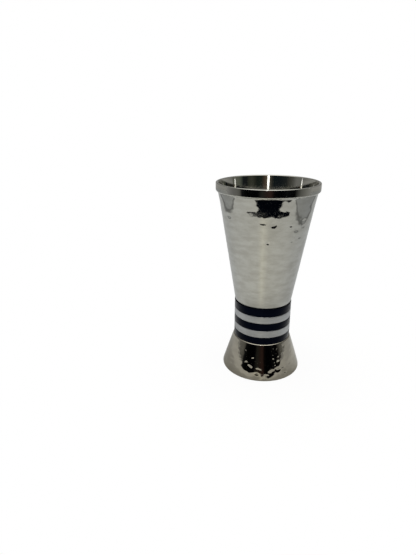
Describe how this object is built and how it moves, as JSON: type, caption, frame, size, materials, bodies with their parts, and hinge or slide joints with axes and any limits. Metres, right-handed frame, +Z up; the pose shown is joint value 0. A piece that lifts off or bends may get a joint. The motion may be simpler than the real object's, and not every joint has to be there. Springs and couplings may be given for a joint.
{
  "type": "kiddush cup",
  "caption": "Tall conical goblet of hammered polished steel with a smooth rim band, a stack of navy and silver turned rings, and a flared hammered foot open underneath.",
  "frame": {"origin": "centre of the circle that the foot stands on, at the foot's underside", "axes": "+Z up along the cup's axis of revolution, through the foot, the rings and the mouth; the cup looks alike from every side, so +X and +Y are any two level directions at right angles"},
  "size_m": [0.071, 0.071, 0.14],
  "materials": {
    "hammered_steel": "polished",
    "navy_anodised": "satin",
    "silver_turned": "satin"
  },
  "bodies": {
    "root": {"beaker": "hammered_steel", "navy_ring_top": "navy_anodised", "silver_ring_upper": "silver_turned", "navy_ring_middle": "navy_anodised", "silver_ring_lower": "silver_turned", "navy_ring_bottom": "navy_anodised", "foot": "hammered_steel"}
  },
  "joints": []
}
